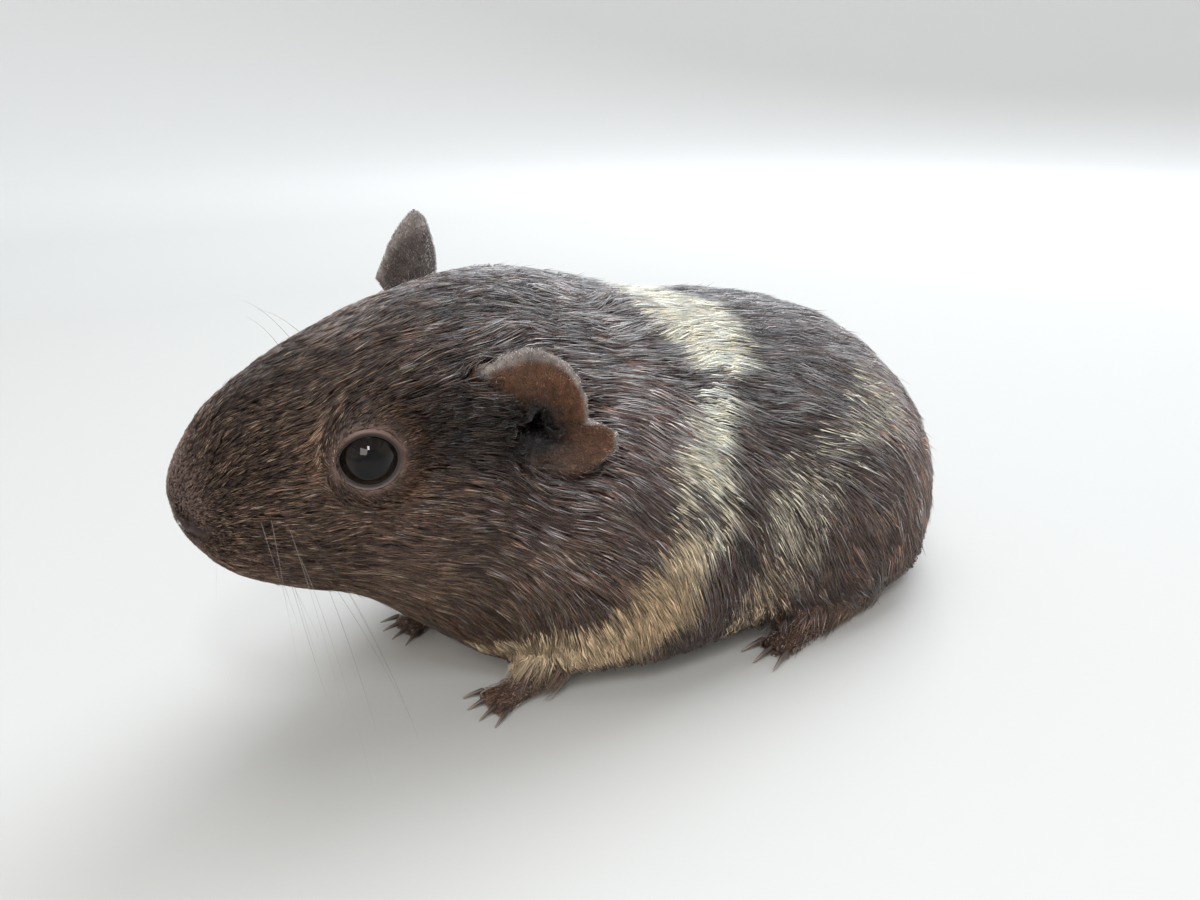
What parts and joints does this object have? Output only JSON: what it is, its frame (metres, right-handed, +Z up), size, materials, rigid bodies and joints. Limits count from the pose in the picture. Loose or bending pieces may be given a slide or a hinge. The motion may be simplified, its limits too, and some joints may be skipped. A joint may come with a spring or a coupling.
{
  "type": "guinea pig",
  "caption": "Life-size still model of a young guinea pig crouching on all fours with its head raised, for display as an animal figure.",
  "frame": {"origin": "middle of the footprint on the floor, under the chest and belly", "axes": "-X towards the nose, +X towards the rump, -Y towards the animal's left side, +Z up"},
  "size_m": [0.185, 0.0908, 0.0934],
  "materials": {
    "coat": "dark brown fur with a cream band behind the shoulder",
    "ear_skin": "thin, finely haired brown skin",
    "eye": "wet, glossy black-brown",
    "claw": "smooth dark horn"
  },
  "bodies": {
    "root": {"head": "coat", "neck": "coat", "trunk": "coat", "foreleg_left": "coat", "hindleg_left": "coat", "ear_left": "ear_skin", "eye_left": "eye", "claw_fore_left_1": "claw", "claw_fore_left_2": "claw", "claw_fore_left_3": "claw", "claw_fore_left_4": "claw", "claw_hind_left_1": "claw", "claw_hind_left_2": "claw", "claw_hind_left_3": "claw", "foreleg_right": "coat", "hindleg_right": "coat", "ear_right": "ear_skin", "eye_right": "eye", "claw_fore_right_1": "claw", "claw_fore_right_2": "claw", "claw_fore_right_3": "claw", "claw_fore_right_4": "claw", "claw_hind_right_1": "claw", "claw_hind_right_2": "claw", "claw_hind_right_3": "claw"}
  },
  "joints": []
}
